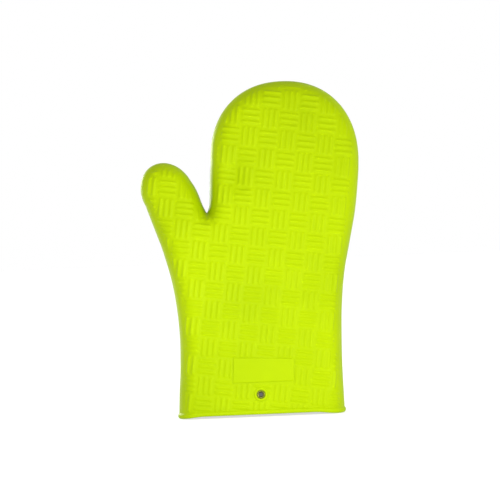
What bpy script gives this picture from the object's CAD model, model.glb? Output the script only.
import math
import bpy
import numpy as np
from mathutils import Matrix, Vector


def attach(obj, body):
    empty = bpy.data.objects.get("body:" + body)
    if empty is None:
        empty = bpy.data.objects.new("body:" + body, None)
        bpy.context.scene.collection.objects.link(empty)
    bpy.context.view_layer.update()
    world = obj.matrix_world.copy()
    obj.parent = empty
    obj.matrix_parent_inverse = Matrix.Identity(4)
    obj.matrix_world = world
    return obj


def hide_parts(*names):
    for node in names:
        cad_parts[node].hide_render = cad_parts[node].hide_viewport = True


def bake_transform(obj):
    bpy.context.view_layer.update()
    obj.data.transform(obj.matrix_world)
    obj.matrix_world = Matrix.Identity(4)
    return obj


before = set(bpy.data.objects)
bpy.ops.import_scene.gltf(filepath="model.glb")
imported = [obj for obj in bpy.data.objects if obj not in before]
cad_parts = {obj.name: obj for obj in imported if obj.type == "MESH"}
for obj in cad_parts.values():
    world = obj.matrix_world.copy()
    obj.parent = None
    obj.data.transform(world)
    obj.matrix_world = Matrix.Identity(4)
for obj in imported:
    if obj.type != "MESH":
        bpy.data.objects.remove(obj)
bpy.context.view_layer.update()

MM = 0.001

# ------------------------------------------------------------------ shape of the glove, in millimetres

# Silhouette as (height, x) pairs, and half depth as (height, half depth) pairs.
LEFT_EDGE = [(0, -67.6), (22, -66.4), (40, -65), (66, -64.2),
             (90, -65.5), (116, -69.2), (148, -77.5), (173, -86.5)]
RIGHT_EDGE = [(0, 71.6), (40, 71.1), (66, 71.6), (90, 72.8), (118, 76.1),
              (142, 81.3), (170, 87.3), (200, 91.2), (213.4, 92)]
FINGER_LEFT = [(170.3, -37.3), (178, -35), (190, -34.2), (204, -33.3), (213.4, -32.4)]
HALF_DEPTH = [(0, 25.5), (60, 25.2), (120, 23.6), (170.3, 21.6), (213.4, 20.2), (280, 18.5)]
# The thumb's own edges and half depth, by length along it from the crotch.
THUMB_LEFT = [(0, -46), (14.6, -43.6), (25, -41.9), (33, -40.5)]
THUMB_RIGHT = [(0, 0), (8.4, 0.5), (19, 2.2), (26, 2.7), (33, 2.3)]
THUMB_DEPTH = [(0, 22), (33, 19.5), (59, 17.5)]
CROTCH = (-37.3, 170.3)
LEAN = math.radians(28.2)
TIP = 280.0              # height of the fingertip
FINGER_DOME = 213.4      # height where the fingertip's dome starts
THUMB_DOME = 33.0        # length along the thumb where its dome starts
THUMB_TIP = 58.8         # length of the thumb
EDGE_ROUND = 15.0        # width over which a face rounds off into the side
POWER = 2.2              # 2 rounds the side like an ellipse, more makes it squarer
LINING_IN = 2.5          # depth of the lining's outer face below the skin
EYELET = (1.7, 18.5)     # centre of the eyelet, as (x, height)
CUFF_TOP = 96.0          # height where the stiff cuff piece of the skin ends


def curve(table, h):
    """The smooth curve through the table's points that the solids use."""
    t = np.array(table, float)
    x, y = t[:, 0], t[:, 1]
    n = len(x)
    after = np.minimum(np.arange(n) + 1, n - 1)
    before = np.maximum(np.arange(n) - 1, 0)
    slope = (y[after] - y[before]) / (x[after] - x[before])
    h = np.asarray(h, float)
    i = np.clip(np.searchsorted(x, h, side="right") - 1, 0, n - 2)
    step = x[i + 1] - x[i]
    u = (h - x[i]) / step
    return (y[i] * (1 + 2 * u) * (1 - u) ** 2 + y[i + 1] * u * u * (3 - 2 * u)
            + step * u * (1 - u) * ((1 - u) * slope[i] - u * slope[i + 1]))


def smooth(v, low, high):
    """0 below low, 1 above high, and an easy rise between."""
    t = np.clip((v - low) / (high - low), 0, 1)
    return t * t * (3 - 2 * t)


def thumb_to_row(s, off):
    """The (x, z) of a place s along the thumb and off across it."""
    s, off = np.asarray(s, float), np.asarray(off, float)
    return np.stack([CROTCH[0] - s * math.sin(LEAN) + off * math.cos(LEAN),
                     CROTCH[1] + s * math.cos(LEAN) + off * math.sin(LEAN)], -1)


def row_to_thumb(x, z):
    """How far along the thumb and across it a place is."""
    dx, dz = x - CROTCH[0], z - CROTCH[1]
    return (-dx * math.sin(LEAN) + dz * math.cos(LEAN), dx * math.cos(LEAN) + dz * math.sin(LEAN))


def dome(left, right, base, top, power, n=60):
    """Points over a rounded end, from its left foot to its right one, as (across, along)."""
    a = np.linspace(math.pi, 0, n)
    c, s = np.cos(a), np.abs(np.sin(a))
    across = (left + right) / 2 + (right - left) / 2 * np.sign(c) * np.abs(c) ** (2 / power)
    return across, base + (top - base) * s ** (2 / power)


def outline():
    """The glove's silhouette as a closed loop, carried on below the rim."""
    low = -60.0
    web_top = 174.0
    parts = [[(LEFT_EDGE[0][1], low)]]
    z = np.linspace(0, 147, 60)
    parts.append(np.stack([curve(LEFT_EDGE, z), z], -1))
    s = np.linspace(1, THUMB_DOME, 16)
    parts.append(thumb_to_row(s, curve(THUMB_LEFT, s)))
    across, along = dome(THUMB_LEFT[-1][1], THUMB_RIGHT[-1][1], THUMB_DOME, THUMB_TIP, 2)
    parts.append(thumb_to_row(along[1:-1], across[1:-1]))
    s = np.linspace(THUMB_DOME, 3.5, 14)
    parts.append(thumb_to_row(s, curve(THUMB_RIGHT, s)))
    # the web between thumb and fingers is one rounded bend
    a, c = parts[-1][-1], np.array([curve(FINGER_LEFT, web_top), web_top])
    b = np.array([CROTCH[0], CROTCH[1] - 0.6])
    u = np.linspace(0, 1, 9)[1:-1, None]
    parts.append(a * (1 - u) ** 2 + b * 2 * u * (1 - u) + c * u * u)
    z = np.linspace(web_top, FINGER_DOME, 20)
    parts.append(np.stack([curve(FINGER_LEFT, z), z], -1))
    across, along = dome(FINGER_LEFT[-1][1], RIGHT_EDGE[-1][1], FINGER_DOME, TIP, POWER, 120)
    parts.append(np.stack([across[1:-1], along[1:-1]], -1))
    z = np.linspace(FINGER_DOME, 0, 90)
    parts.append(np.stack([curve(RIGHT_EDGE, z), z], -1))
    parts.append([(RIGHT_EDGE[0][1], low)])
    return np.concatenate([np.asarray(p, float) for p in parts])


def signed_distance(points, loop):
    """Distance inside the closed outline, below 0 outside it."""
    a, b = loop, np.roll(loop, -1, 0)
    ab = b - a
    length2 = (ab ** 2).sum(1)
    out = np.empty(len(points))
    for start in range(0, len(points), 6000):
        p = points[start:start + 6000, None, :]
        t = np.clip(((p - a) * ab).sum(2) / length2, 0, 1)
        q = p - (a + t[..., None] * ab)
        nearest = np.sqrt((q ** 2).sum(2).min(1))
        px, pz = p[..., 0], p[..., 1]
        straddles = (a[:, 1] > pz) != (b[:, 1] > pz)
        height = np.where(np.abs(ab[:, 1]) < 1e-9, 1e-9, ab[:, 1])
        crosses = straddles & (px < a[:, 0] + ab[:, 0] * (pz - a[:, 1]) / height)
        inside = crosses.sum(1) % 2 == 1
        out[start:start + 6000] = np.where(inside, nearest, -nearest)
    return out


# the distance and the half depth are worked out once on a grid
STEP = 0.75
GX = np.arange(-104, 104 + STEP, STEP)
GZ = np.arange(-12, 292 + STEP, STEP)
_gx, _gz = np.meshgrid(GX, GZ, indexing="ij")
DIST = signed_distance(np.stack([_gx.ravel(), _gz.ravel()], -1), outline()).reshape(_gx.shape)


def sample(field, x, z):
    """The grid's value at any place, blended from the four nearest points."""
    i = np.clip((x - GX[0]) / STEP, 0, len(GX) - 1.001)
    j = np.clip((z - GZ[0]) / STEP, 0, len(GZ) - 1.001)
    i0, j0 = i.astype(int), j.astype(int)
    u, v = i - i0, j - j0
    return (field[i0, j0] * (1 - u) * (1 - v) + field[i0 + 1, j0] * u * (1 - v)
            + field[i0, j0 + 1] * (1 - u) * v + field[i0 + 1, j0 + 1] * u * v)


def depth(x, z, d):
    """Half depth of the flat of the glove, front to back, with a slight crown above the cuff."""
    s, _ = row_to_thumb(x, z)
    thumb = smooth(s, -8, 10) * smooth(CROTCH[0] - x, -1, 1)
    palm = curve(HALF_DEPTH, np.clip(z, 0, TIP))
    base = palm * (1 - thumb) + curve(THUMB_DEPTH, np.clip(s, 0, 59)) * thumb
    crown = 1.6 * smooth(z, 55, 110) * (1 - np.exp(-np.clip(d, 0, None) / 26))
    return base + crown


DEPTH = depth(_gx, _gz, DIST)


def implicit(x, y, z, inset=0.0):
    """Below 0 inside the glove's skin, shrunk by inset."""
    d = sample(DIST, x, z)
    h = sample(DEPTH, x, z)
    side = np.clip(1 - (d - inset) / (EDGE_ROUND - inset), 0, None)
    return (np.abs(y) / (h - inset)) ** POWER + side ** POWER - 1


def face_at(x, z, inset=0.0):
    """Half depth of the skin at a place on its face."""
    x, z = np.asarray(x, float), np.asarray(z, float)
    d, h = sample(DIST, x, z), sample(DEPTH, x, z)
    q = np.clip((d - inset) / (EDGE_ROUND - inset), 0, 1)
    return (h - inset) * (1 - (1 - q) ** POWER) ** (1 / POWER)


def gradient(x, y, z, inset):
    e = 0.2
    return np.stack([implicit(x + e, y, z, inset) - implicit(x - e, y, z, inset),
                     implicit(x, y + e, z, inset) - implicit(x, y - e, z, inset),
                     implicit(x, y, z + e, inset) - implicit(x, y, z - e, inset)], -1) / (2 * e)


def surface(pitch, inset, bottom):
    """An even quad mesh over the glove's skin, shrunk by inset and open at the bottom.

    Gives its points, their outward normals and its quads. Each cell of a cubic grid that the skin
    passes through gets one point, and each grid edge that it crosses gets one quad. A few steps
    then pull the points onto the true skin.
    """
    xs = np.arange(-96, 96, pitch)
    ys = np.arange(-math.ceil(29 / pitch) * pitch - pitch / 2, 29 + pitch, pitch)
    zs = np.arange(bottom, 284, pitch)
    gx, gz = np.meshgrid(xs, zs, indexing="ij")
    d, h = sample(DIST, gx, gz), sample(DEPTH, gx, gz)
    side = np.clip(1 - (d - inset) / (EDGE_ROUND - inset), 0, 8) ** POWER - 1
    lift = (h - inset) ** -POWER
    f = ((np.abs(ys) ** POWER)[None, :, None] * lift[:, None, :] + side[:, None, :]).astype(np.float32)
    inside = f < 0
    shape = tuple(np.array(f.shape) - 1)
    sums = np.zeros((int(np.prod(shape)), 3))
    counts = np.zeros(int(np.prod(shape)))
    quads = []
    axes = (xs, ys, zs)
    for axis in range(3):
        low = [slice(None)] * 3
        high = [slice(None)] * 3
        low[axis], high[axis] = slice(None, -1), slice(1, None)
        hit = np.argwhere(inside[tuple(low)] != inside[tuple(high)])
        after = hit.copy()
        after[:, axis] += 1
        fa, fb = f[tuple(hit.T)], f[tuple(after.T)]
        t = fa / (fa - fb)
        point = np.stack([axes[k][hit[:, k]] for k in range(3)], -1).astype(float)
        point[:, axis] += t * pitch
        o1, o2 = (axis + 1) % 3, (axis + 2) % 3
        corners, valid = [], np.ones(len(hit), bool)
        for s1, s2 in ((-1, -1), (0, -1), (0, 0), (-1, 0)):
            cell = hit.copy()
            cell[:, o1] += s1
            cell[:, o2] += s2
            good = ((cell >= 0) & (cell < np.array(shape))).all(1)
            flat = np.ravel_multi_index(tuple(np.clip(cell, 0, np.array(shape) - 1).T), shape)
            for k in range(3):
                sums[:, k] += np.bincount(flat[good], point[good, k], len(sums))
            counts += np.bincount(flat[good], minlength=len(sums))
            corners.append(flat)
            valid &= good
        q = np.stack(corners, -1)
        outward = inside[tuple(hit.T)]
        q = np.where(outward[:, None], q, q[:, ::-1])
        quads.append(q[valid])
    used = np.nonzero(counts)[0]
    index = np.full(len(sums), -1)
    index[used] = np.arange(len(used))
    points = sums[used] / counts[used, None]
    quads = index[np.concatenate(quads)]
    lowest = points[:, 2] < bottom + pitch
    for _ in range(4):
        g = gradient(*points.T, inset)
        value = implicit(*points.T, inset)
        move = -value[:, None] * g / (g ** 2).sum(1)[:, None]
        size = np.sqrt((move ** 2).sum(1))[:, None]
        points = points + move * np.minimum(1, 0.6 * pitch / np.maximum(size, 1e-9))
    points[lowest, 2] = bottom + pitch / 2
    g = gradient(*points.T, inset)
    return points, g / np.sqrt((g ** 2).sum(1))[:, None], quads


# ------------------------------------------------------------------ moulded detail, in millimetres

CELL = 15.96                        # size of one square of the basket weave
WEAVE_TURN = math.radians(8.2)      # slant of its rows
WEAVE_AT = (14.33, 214.8)           # centre of one square of upright ribs
RIB_APART = 4.6
RIB_HALF = 1.7
RIB_HIGH = 0.82
# corners of the blank panel as (x, height), from its lower left one
PANEL = ((-21.4, 28.7), (29.9, 28.5), (30.6, 47.7), (-20.2, 50.1))
PANEL_WIDE, PANEL_HIGH = 51.3, 20.2


def panel_inside(x, z):
    """Distance inside the blank panel's outline, below 0 outside it."""
    worst = np.full(np.shape(x), 1e9)
    for i in range(4):
        a, b = np.array(PANEL[i]), np.array(PANEL[(i + 1) % 4])
        n = np.array([-(b - a)[1], (b - a)[0]]) / np.hypot(*(b - a))
        worst = np.minimum(worst, (x - a[0]) * n[0] + (z - a[1]) * n[1])
    return worst


def ribs(x, z):
    """Height of the basket-weave ribs, from 0 to 1."""
    c, s = math.cos(WEAVE_TURN), math.sin(WEAVE_TURN)
    # the weave is stretched a little towards the fingertip
    z = z + 2.1 - 5.6 * np.clip((z - 120) / 150, 0, 1) ** 2
    dx, dz = x - WEAVE_AT[0], z - WEAVE_AT[1]
    a = (dx * c - dz * s) / CELL
    b = -(dx * s + dz * c) / CELL
    i, j = np.round(a), np.round(b)
    la, lb = (a - i) * CELL, (b - j) * CELL
    upright = (i + j) % 2 == 0
    across, along = np.where(upright, la, lb), np.where(upright, lb, la)
    half = np.where(upright, 7.6, 7.3) - 1.2
    off = across - np.clip(np.round(across / RIB_APART), -1, 1) * RIB_APART
    away = np.hypot(off, np.maximum(np.abs(along) - half, 0))
    t = np.clip(1 - away / RIB_HALF, 0, 1)
    return np.sin(t * math.pi / 2) ** 1.5


def dent(x, z, at, size, deep):
    """Depth of one soft hollow with its deepest place at at."""
    r2 = ((x - at[0]) / size[0]) ** 2 + ((z - at[1]) / size[1]) ** 2
    return deep * np.exp(-r2)


def dents(points):
    """Soft hollows where the glove has been handled."""
    x, y, z = points.T
    front = y < 0
    hollow = dent(x, z, (-12, 203), (8, 13), 4.0) * front * smooth(sample(DIST, x, z), 2, 12)
    hollow += dent(x, z, (38, 105), (16, 12), 1.1) * front
    # two short creases inside the deepest hollow
    hollow += (dent(x, z, (-16, 208), (6, 1.8), 1.2) + dent(x, z, (-7, 190.5), (5, 1.7), 1.1)) * front
    return hollow + dent(x, z, (30, 150), (24, 15), 0.8) * ~front


def detail(points, normals):
    """Outward movement of each point of the skin."""
    x, y, z = points.T
    d = sample(DIST, x, z)
    front = y < 0
    plain = smooth(d, 4.2, 6.6) * smooth(z, 3.4, 5.2)
    eyelet = np.hypot(x - EYELET[0], z - EYELET[1])
    plain *= np.where(front, smooth(-panel_inside(x, z), 0.4, 1.6) * smooth(eyelet, 6.5, 8.2), 1)
    out = RIB_HIGH * ribs(x, z) * plain * smooth(np.abs(normals[:, 1]), 0.25, 0.6)
    # the mould's parting line runs round the side
    out += 0.28 * np.exp(-(y / 0.8) ** 2)
    waves = 0.35 * np.sin(x / 17 + 0.6) * np.cos(z / 23 + 1.1) + 0.25 * np.sin((x + z) / 31)
    out += waves * smooth(d, 6, 18) * smooth(z, 50, 80)
    return out - dents(points)


# ------------------------------------------------------------------ meshes

def vertex_normals(points, quads):
    n = np.cross(points[quads[:, 2]] - points[quads[:, 0]], points[quads[:, 3]] - points[quads[:, 1]])
    total = np.zeros_like(points)
    for k in range(4):
        for axis in range(3):
            total[:, axis] += np.bincount(quads[:, k], n[:, axis], len(points))
    return total / np.maximum(np.sqrt((total ** 2).sum(1)), 1e-12)[:, None]


def add_mesh(name, points, faces, material, normals=None):
    mesh = bpy.data.meshes.new(name)
    mesh.from_pydata((np.asarray(points) * MM).tolist(), [], [list(map(int, f)) for f in faces])
    mesh.polygons.foreach_set("use_smooth", np.ones(len(mesh.polygons), bool))
    mesh.update()
    if normals is not None:
        mesh.normals_split_custom_set_from_vertices(normals.tolist())
    obj = bpy.data.objects.new(name, mesh)
    bpy.context.collection.objects.link(obj)
    mesh.materials.append(material)
    return obj


def part_of(name, points, quads, keep, material, normals):
    """A piece of its own from the quads to keep, with the whole mesh's normals."""
    chosen = quads[keep]
    used = np.unique(chosen)
    index = np.full(len(points), -1)
    index[used] = np.arange(len(used))
    return add_mesh(name, points[used], index[chosen], material, normals[used])


def grid_faces(rows, cols, around):
    """Quads of a grid of points, closed across its columns if it goes around."""
    faces = []
    for r in range(rows - 1):
        for c in range(cols if around else cols - 1):
            e = (c + 1) % cols
            faces.append((r * cols + c, r * cols + e, (r + 1) * cols + e, (r + 1) * cols + c))
    return faces


def cuff_section(z, inset, corner=20, straight=80):
    """Points and outward directions round the cuff at height z, as (x, y)."""
    left, right = curve(LEFT_EDGE, max(z, 0)), curve(RIGHT_EDGE, max(z, 0))
    h, w = curve(HALF_DEPTH, max(z, 0)) - inset, EDGE_ROUND - inset
    a = np.linspace(0, math.pi / 2, corner, endpoint=False)
    cx = w * (1 - np.cos(a) ** (2 / POWER))
    cy = h * np.sin(a) ** (2 / POWER)
    mid = np.linspace(left + inset + w, right - inset - w, straight)
    x = np.concatenate([left + inset + cx, mid, right - inset - cx[::-1]])
    y = -np.concatenate([cy, np.full(straight, h), cy[::-1]])
    x = np.concatenate([x, x[1:-1][::-1]])
    y = np.concatenate([y, -y[1:-1][::-1]])
    p = np.stack([x, y], -1)
    tangent = np.roll(p, -1, 0) - np.roll(p, 1, 0)
    n = np.stack([tangent[:, 1], -tangent[:, 0]], -1)
    return p, n / np.sqrt((n ** 2).sum(1))[:, None]


def arch(x):
    """Rise of the rim between its corners."""
    return 1.8 * smooth(1 - np.abs(x / 68), 0.0, 0.33)


def ring_piece(name, profile, material, inset=0.0, close=True, open_at=None):
    """A profile of (out, height) pairs carried round the cuff."""
    rows = []
    for out, z in profile:
        p, n = cuff_section(z, inset)
        q = p + n * out
        rise = arch(q[:, 0]) * np.clip(1 - z / 14, 0, 1)
        rows.append(np.stack([q[:, 0], q[:, 1], z + rise], -1))
    cols = len(rows[0])
    points = np.concatenate(rows)
    faces = grid_faces(len(rows), cols, True)
    if close:
        top = (len(rows) - 1) * cols
        faces += [(top + c, top + (c + 1) % cols, (c + 1) % cols, c) for c in range(cols)]
    if open_at:
        middle = points[np.array(faces)].mean(1)
        away = np.hypot(middle[:, 0] - open_at[0], middle[:, 2] - open_at[1])
        faces = [f for f, m, r in zip(faces, middle, away) if m[1] > 0 or r > 3.2]
    return add_mesh(name, points, faces, material)


def lathe(name, profile, at_x, at_z, face_y, material, segments=72, closed=True):
    """A profile of (radius, depth behind the face) pairs turned about an axis through the glove."""
    a = np.linspace(0, 2 * math.pi, segments, endpoint=False)
    rows = [np.stack([at_x + r * np.cos(a), np.full(segments, face_y + u), at_z + r * np.sin(a)], -1)
            for r, u in profile]
    points = np.concatenate(rows)
    faces = grid_faces(len(profile), segments, True)
    if closed:
        top = (len(profile) - 1) * segments
        faces += [(top + c, top + (c + 1) % segments, (c + 1) % segments, c) for c in range(segments)]
    return add_mesh(name, points, faces, material)


# ------------------------------------------------------------------ materials

def new_material(name):
    material = bpy.data.materials.new(name)
    material.use_nodes = True
    nodes, links = material.node_tree.nodes, material.node_tree.links
    return material, nodes, links, nodes["Principled BSDF"]


def noise(nodes, links, scale, detail_level=4.0, rough=0.55):
    coord = nodes.new("ShaderNodeTexCoord")
    n = nodes.new("ShaderNodeTexNoise")
    n.inputs["Scale"].default_value = scale
    n.inputs["Detail"].default_value = detail_level
    n.inputs["Roughness"].default_value = rough
    links.new(coord.outputs["Object"], n.inputs["Vector"])
    return n


def ramp(nodes, links, source, low, high, colours):
    r = nodes.new("ShaderNodeValToRGB")
    r.color_ramp.elements[0].position, r.color_ramp.elements[1].position = low, high
    for element, colour in zip(r.color_ramp.elements, colours):
        element.color = (*colour, 1)
    links.new(source, r.inputs["Fac"])
    return r


def silicone_material():
    material, nodes, links, shader = new_material("lime_silicone")
    patches = noise(nodes, links, 14, 3)
    limes = [(0.262, 0.368, 0.0002), (0.305, 0.418, 0.0002)]
    colour = ramp(nodes, links, patches.outputs["Fac"], 0.3, 0.72, limes)
    links.new(colour.outputs["Color"], shader.inputs["Base Color"])
    rub = noise(nodes, links, 45, 5)
    rough = ramp(nodes, links, rub.outputs["Fac"], 0.3, 0.7, [(0.44,) * 3, (0.56,) * 3])
    links.new(rough.outputs["Color"], shader.inputs["Roughness"])
    grain = noise(nodes, links, 2600, 2)
    bump = nodes.new("ShaderNodeBump")
    bump.inputs["Strength"].default_value = 0.05
    bump.inputs["Distance"].default_value = 0.00012
    links.new(grain.outputs["Fac"], bump.inputs["Height"])
    links.new(bump.outputs["Normal"], shader.inputs["Normal"])
    shader.inputs["Specular IOR Level"].default_value = 0.03
    shader.inputs["Subsurface Weight"].default_value = 0.12
    shader.inputs["Subsurface Radius"].default_value = (0.9, 1.0, 0.15)
    shader.inputs["Subsurface Scale"].default_value = 0.003
    return material


def cloth_material(name, dark, light, threads):
    """A woven cloth, with two crossing sets of threads."""
    material, nodes, links, shader = new_material(name)
    coord = nodes.new("ShaderNodeTexCoord")
    waves = []
    for axis in ("X", "Z"):
        w = nodes.new("ShaderNodeTexWave")
        w.bands_direction = axis
        w.inputs["Scale"].default_value = threads
        w.inputs["Distortion"].default_value = 0.6
        w.inputs["Detail"].default_value = 1
        links.new(coord.outputs["Object"], w.inputs["Vector"])
        waves.append(w)
    mix = nodes.new("ShaderNodeMath")
    mix.operation = "MULTIPLY"
    links.new(waves[0].outputs["Fac"], mix.inputs[0])
    links.new(waves[1].outputs["Fac"], mix.inputs[1])
    blotch = noise(nodes, links, 120, 4)
    add = nodes.new("ShaderNodeMath")
    add.operation = "MULTIPLY_ADD"
    links.new(mix.outputs[0], add.inputs[0])
    add.inputs[1].default_value = 0.5
    links.new(blotch.outputs["Fac"], add.inputs[2])
    colour = ramp(nodes, links, add.outputs[0], 0.35, 0.95, [dark, light])
    links.new(colour.outputs["Color"], shader.inputs["Base Color"])
    bump = nodes.new("ShaderNodeBump")
    bump.inputs["Strength"].default_value = 0.5
    bump.inputs["Distance"].default_value = 0.0002
    links.new(mix.outputs[0], bump.inputs["Height"])
    links.new(bump.outputs["Normal"], shader.inputs["Normal"])
    shader.inputs["Roughness"].default_value = 0.92
    shader.inputs["Sheen Weight"].default_value = 0.25
    shader.inputs["Sheen Roughness"].default_value = 0.5
    return material


def metal_material():
    material, nodes, links, shader = new_material("eyelet_metal")
    scratch = noise(nodes, links, 900, 5, 0.7)
    colour = ramp(nodes, links, scratch.outputs["Fac"], 0.3, 0.7, [(0.07, 0.078, 0.012), (0.15, 0.16, 0.03)])
    links.new(colour.outputs["Color"], shader.inputs["Base Color"])
    rough = ramp(nodes, links, scratch.outputs["Fac"], 0.3, 0.7, [(0.28,) * 3, (0.46,) * 3])
    links.new(rough.outputs["Color"], shader.inputs["Roughness"])
    shader.inputs["Metallic"].default_value = 1
    return material


SILICONE = silicone_material()
LINING = cloth_material("quilted_cotton", (0.44, 0.44, 0.41), (0.66, 0.66, 0.62), 420)
BINDING = cloth_material("binding_tape", (0.16, 0.18, 0.16), (0.30, 0.32, 0.29), 520)
STEEL = metal_material()

# ------------------------------------------------------------------ silicone skin

FINE = 0.68
points, normals, quads = surface(FINE, 0.0, 2.2)
points = points + normals * detail(points, normals)[:, None]
points[:, 2] += arch(points[:, 0]) * np.clip(1 - points[:, 2] / 14, 0, 1)
shading = vertex_normals(points, quads)
centre = points[quads].mean(1)
hole = (centre[:, 1] < 0) & (np.hypot(centre[:, 0] - EYELET[0], centre[:, 2] - EYELET[1]) < 2.6)
above = (centre[:, 2] > CROTCH[1]) & (centre[:, 0] > CROTCH[0])
cuff = (centre[:, 2] < CUFF_TOP) & ~hole
skin_fingers = part_of("skin_fingers", points, quads, above, SILICONE, shading)
skin_hand = part_of("skin_hand", points, quads, ~above & ~cuff & ~hole, SILICONE, shading)
skin_cuff = part_of("skin_cuff", points, quads, cuff, SILICONE, shading)

# rim: a rolled bead outside, then the wall's inner face up behind the lining
bead = [(-0.25, 5.5), (0.02, 4.8), (0.25, 4.35), (0.62, 4.0), (0.98, 3.5),
        (1.18, 2.9), (1.22, 2.2), (1.1, 1.5), (0.75, 0.8), (0.2, 0.3),
        (-0.5, 0.08), (-1.2, 0.08), (-1.8, 0.4), (-2.15, 1.0), (-2.25, 2.2)]
bead += [(-2.3, z) for z in np.arange(4, 35, 1.5)]
rim = ring_piece("rim_bead", bead, SILICONE, close=False, open_at=EYELET)


def panel_shares(length, count):
    """Shares of a panel's side from 0 to 1, close together over its rounded edges."""
    edge = np.array([0, 0.12, 0.3, 0.55, 0.9])
    return np.concatenate([edge, np.linspace(1.6, length - 1.6, count), length - edge[::-1]]) / length


def panel_piece():
    """The blank panel, in rows along its own edges, with a rounded edge all the way round."""
    u, v = np.meshgrid(panel_shares(PANEL_WIDE, 60), panel_shares(PANEL_HIGH, 18), indexing="xy")
    lower_left, lower_right, upper_right, upper_left = PANEL
    x, z = ((lower_left[i] * (1 - u) + lower_right[i] * u) * (1 - v)
            + (upper_left[i] * (1 - u) + upper_right[i] * u) * v for i in range(2))
    near = np.minimum(np.minimum(u, 1 - u) * PANEL_WIDE, np.minimum(v, 1 - v) * PANEL_HIGH)
    q = np.clip(near / 0.9, 0, 1)
    high = -0.25 + 0.95 * np.sqrt(1 - (1 - q) ** 2)
    places = np.stack([x.ravel(), (-face_at(x, z) - high).ravel(), z.ravel()], -1)
    return add_mesh("blank_panel", places, grid_faces(*x.shape, False), SILICONE)


panel = panel_piece()

face = -float(curve(HALF_DEPTH, EYELET[1]))
collar_profile = [(2.5, 0.6), (2.5, 0.2), (3.62, 0.2), (3.66, -0.25), (3.85, -0.55), (4.2, -0.7),
                  (4.8, -0.7), (5.25, -0.58), (5.6, -0.3), (5.85, 0.0), (6.0, 0.3)]
collar = lathe("eyelet_collar", collar_profile, *EYELET, face, SILICONE, closed=False)
flange = [(3.5, 0.2), (3.5, -0.02), (3.36, -0.22), (3.05, -0.36),
          (2.6, -0.4), (2.2, -0.3), (1.95, -0.1), (1.82, 0.25)]
barrel = [(1.8, 1.0), (1.8, 6.0), (1.86, 6.4), (2.1, 6.6), (2.7, 6.6),
          (3.05, 6.4), (3.1, 6.15), (2.3, 6.1), (2.3, 0.2)]
eyelet = lathe("eyelet_ring", flange + barrel, *EYELET, face, STEEL)

# ------------------------------------------------------------------ quilted lining

def quilt(p):
    """How far each point of the lining's inner face puffs inwards between its diagonal seams."""
    x, z = p[:, 0], p[:, 2]
    a, b = (x + z) / 24, (x - z) / 24
    seam = np.minimum(np.abs(a - np.round(a)), np.abs(b - np.round(b))) * 24
    return 0.9 * (1 - np.exp(-seam / 2.6))


# the lining follows the skin's hollows, so it never shows through them
points, normals, quads = surface(1.7, 4.7, 10.0)
points = points - normals * (quilt(points) + dents(points) + 0.3)[:, None]
shading = vertex_normals(points, quads)
centre = points[quads].mean(1)
hole = (centre[:, 1] < 0) & (np.hypot(centre[:, 0] - EYELET[0], centre[:, 2] - EYELET[1]) < 2.9)
above = (centre[:, 2] > CROTCH[1]) & (centre[:, 0] > CROTCH[0])
lining_fingers = part_of("lining_fingers", points, quads, above, LINING, shading)
lining_hand = part_of("lining_hand", points, quads, ~above & ~hole, LINING, shading)
for obj in (lining_fingers, lining_hand):
    thick = obj.modifiers.new("Thickness", "SOLIDIFY")
    thick.thickness = 1.7 * MM
    thick.offset = 1

tape = [(0.0, 12.0), (0.0, 4.2), (-0.35, 3.4), (-1.2, 3.0), (-2.6, 3.0), (-3.6, 3.4),
        (-4.0, 4.2), (-4.1, 7.5), (-4.0, 10.8), (-3.6, 11.9), (-3.0, 12.2)]
binding = ring_piece("binding_tape", tape, BINDING, inset=LINING_IN)

# ------------------------------------------------------------------ frame


for obj in (skin_cuff, rim, panel, collar, eyelet, binding):
    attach(obj, "palm")
for obj in (skin_fingers, lining_fingers):
    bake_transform(obj)
for obj in (skin_hand, lining_hand):
    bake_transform(obj)

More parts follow.
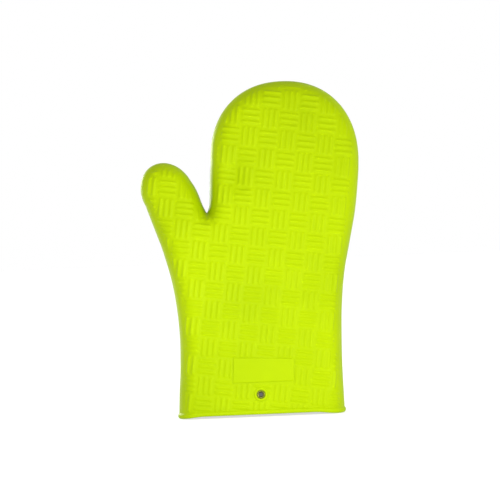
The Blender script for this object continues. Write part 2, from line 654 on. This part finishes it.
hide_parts("thumb_shell", "thumb_root_flex_web")
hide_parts("palm_shell")
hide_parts("finger_shell", "knuckle_flex_web")
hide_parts("lining_palm_front", "lining_palm_back", "lining_thumb_flex",
            "lining_thumb_front", "lining_thumb_back")
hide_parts("lining_knuckle_flex", "lining_finger_front", "lining_finger_back")
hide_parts("lining_cuff_binding")
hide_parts("hanging_eyelet")
for washer_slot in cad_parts["eyelet_washer"].material_slots:
    washer_slot.material = STEEL

# ------------------------------------------------------------------ floor, light and camera

floor_material, nodes, links, shader = new_material("pale_floor")
shader.inputs["Base Color"].default_value = (0.45, 0.45, 0.45, 1)
shader.inputs["Roughness"].default_value = 0.9
shader.inputs["Specular IOR Level"].default_value = 0.1
shader.inputs["Emission Color"].default_value = (1, 1, 1, 1)
shader.inputs["Emission Strength"].default_value = 0.62
bpy.ops.mesh.primitive_plane_add(size=60, location=(0, 0, -0.0002))
floor = bpy.context.object
floor.name = "floor"
floor.data.materials.append(floor_material)

world = bpy.data.worlds.new("studio")
bpy.context.scene.world = world
world.use_nodes = True
world.node_tree.nodes["Background"].inputs["Color"].default_value = (1, 1, 1, 1)
world.node_tree.nodes["Background"].inputs["Strength"].default_value = 1.0


def area_light(name, place, target, size, power):
    """A soft light at a place in metres, facing its target."""
    data = bpy.data.lights.new(name, "AREA")
    data.shape = "RECTANGLE"
    data.size, data.size_y = size
    data.energy = power
    obj = bpy.data.objects.new(name, data)
    bpy.context.collection.objects.link(obj)
    obj.location = place
    obj.rotation_euler = (Vector(target) - Vector(place)).to_track_quat("-Z", "Y").to_euler()
    obj.visible_camera = False
    return obj


area_light("key", (0.56, -0.78, 0.03), (0, 0, 0.08), (0.25, 0.16), 8.2)
area_light("fill", (-0.03, -0.28, 0.095), (-0.01, 0, 0.095), (0.12, 0.1), 0.45)
area_light("side", (-1.1, -0.2, 0.12), (0, 0, 0.12), (0.5, 0.4), 2.4)
area_light("back", (-0.55, 1.1, 0.3), (0, 0, 0.13), (0.3, 0.3), 6)

scene = bpy.context.scene
scene.view_settings.view_transform = "Standard"
camera = bpy.data.objects.new("camera", bpy.data.cameras.new("camera"))
bpy.context.collection.objects.link(camera)
camera.data.lens = 200
camera.data.sensor_width = 36
camera.location = (-0.0024, -2.341, 0.1392)
roll = math.radians(-2.4)
camera.rotation_euler = (Matrix.Rotation(math.pi / 2, 4, "X") @ Matrix.Rotation(roll, 4, "Z")).to_euler()
scene.camera = camera
